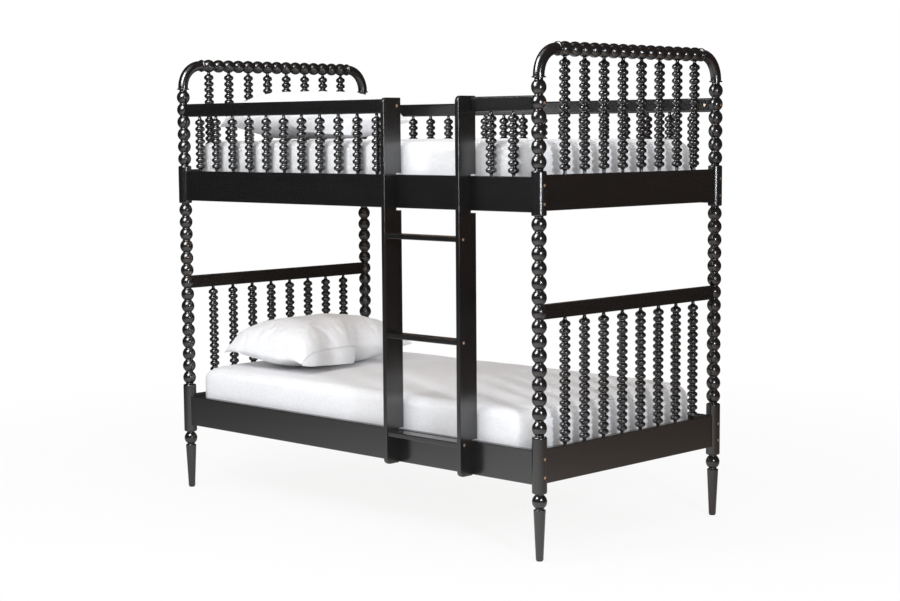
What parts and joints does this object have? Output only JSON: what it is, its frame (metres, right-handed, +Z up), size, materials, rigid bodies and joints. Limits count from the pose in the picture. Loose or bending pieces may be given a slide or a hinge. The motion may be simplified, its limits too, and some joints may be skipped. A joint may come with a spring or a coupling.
{
  "type": "bunk bed",
  "caption": "Twin bunk bed in black painted wood with bobbin-turned posts, arched beaded ends, spindle guards, a flat-rung ladder and made-up mattresses with pillows.",
  "frame": {"origin": "on the floor, under the middle of the bed with its ladder", "axes": "+X along the bed from the pillow end to the foot end, +Y away from the ladder, +Z up"},
  "size_m": [2.0066, 1.1124, 1.7881],
  "materials": {
    "black_wood": "satin black paint",
    "natural_wood": "planed, unpainted",
    "bolt_brass": "dull brass plate",
    "zinc_steel": "zinc plate",
    "glide_plastic": "matt",
    "white_bedding": "woven, matt"
  },
  "bodies": {
    "bed_frame": {"lower_post_front_left": "black_wood", "lower_post_front_right": "black_wood", "lower_post_back_left": "black_wood", "lower_post_back_right": "black_wood", "upper_post_front_left": "black_wood", "upper_post_front_right": "black_wood", "upper_post_back_left": "black_wood", "upper_post_back_right": "black_wood", "corner_bend_front_left": "black_wood", "corner_bend_front_right": "black_wood", "corner_bend_back_left": "black_wood", "corner_bend_back_right": "black_wood", "beaded_top_rail_left": "black_wood", "upper_end_rail_left": "black_wood", "lower_end_rail_left": "black_wood", "mid_rail_left": "black_wood", "lower_spindles_left": "black_wood", "upper_spindles_left": "black_wood", "beaded_top_rail_right": "black_wood", "upper_end_rail_right": "black_wood", "lower_end_rail_right": "black_wood", "mid_rail_right": "black_wood", "lower_spindles_right": "black_wood", "upper_spindles_right": "black_wood", "lower_side_rail_front": "black_wood", "lower_side_rail_back": "black_wood", "upper_side_rail_front": "black_wood", "upper_side_rail_back": "black_wood", "guard_rail_front_left": "black_wood", "guard_rail_front_right": "black_wood", "guard_rail_back": "black_wood", "guard_spindles_front_left": "black_wood", "guard_spindles_front_right": "black_wood", "guard_spindles_back": "black_wood", "ladder_stile_left": "black_wood", "ladder_stile_right": "black_wood", "ladder_rung_lower": "black_wood", "ladder_rung_middle": "black_wood", "ladder_rung_upper": "black_wood", "lower_slat_cleats": "natural_wood", "upper_slat_cleats": "natural_wood", "lower_slats": "natural_wood", "upper_slats": "natural_wood", "side_rail_bolts": "bolt_brass", "guard_rail_bolts": "bolt_brass", "rung_bolts": "bolt_brass", "side_rail_barrel_nuts": "bolt_brass", "guard_rail_barrel_nuts": "bolt_brass", "rung_barrel_nuts": "bolt_brass", "threaded_inserts": "bolt_brass", "stacking_pins": "zinc_steel", "ladder_screws": "zinc_steel", "slat_screws": "zinc_steel", "end_rail_dowels": "natural_wood", "foot_glides": "glide_plastic"},
    "lower_mattress": {"lower_mattress": "white_bedding"},
    "lower_pillow": {"lower_pillow": "white_bedding"},
    "upper_mattress": {"upper_mattress": "white_bedding"},
    "upper_pillow": {"upper_pillow": "white_bedding"}
  },
  "joints": [
    {"name": "lower_mattress_lift", "type": "slide", "parent": "bed_frame", "child": "lower_mattress", "axis": [0, 0, 1], "range_m": [0, 0.3]},
    {"name": "lower_pillow_lift", "type": "slide", "parent": "lower_mattress", "child": "lower_pillow", "axis": [0, 0, 1], "range_m": [0, 0.2]},
    {"name": "upper_mattress_lift", "type": "slide", "parent": "bed_frame", "child": "upper_mattress", "axis": [0, 0, 1], "range_m": [0, 0.55]},
    {"name": "upper_pillow_lift", "type": "slide", "parent": "upper_mattress", "child": "upper_pillow", "axis": [0, 0, 1], "range_m": [0, 0.3]}
  ]
}
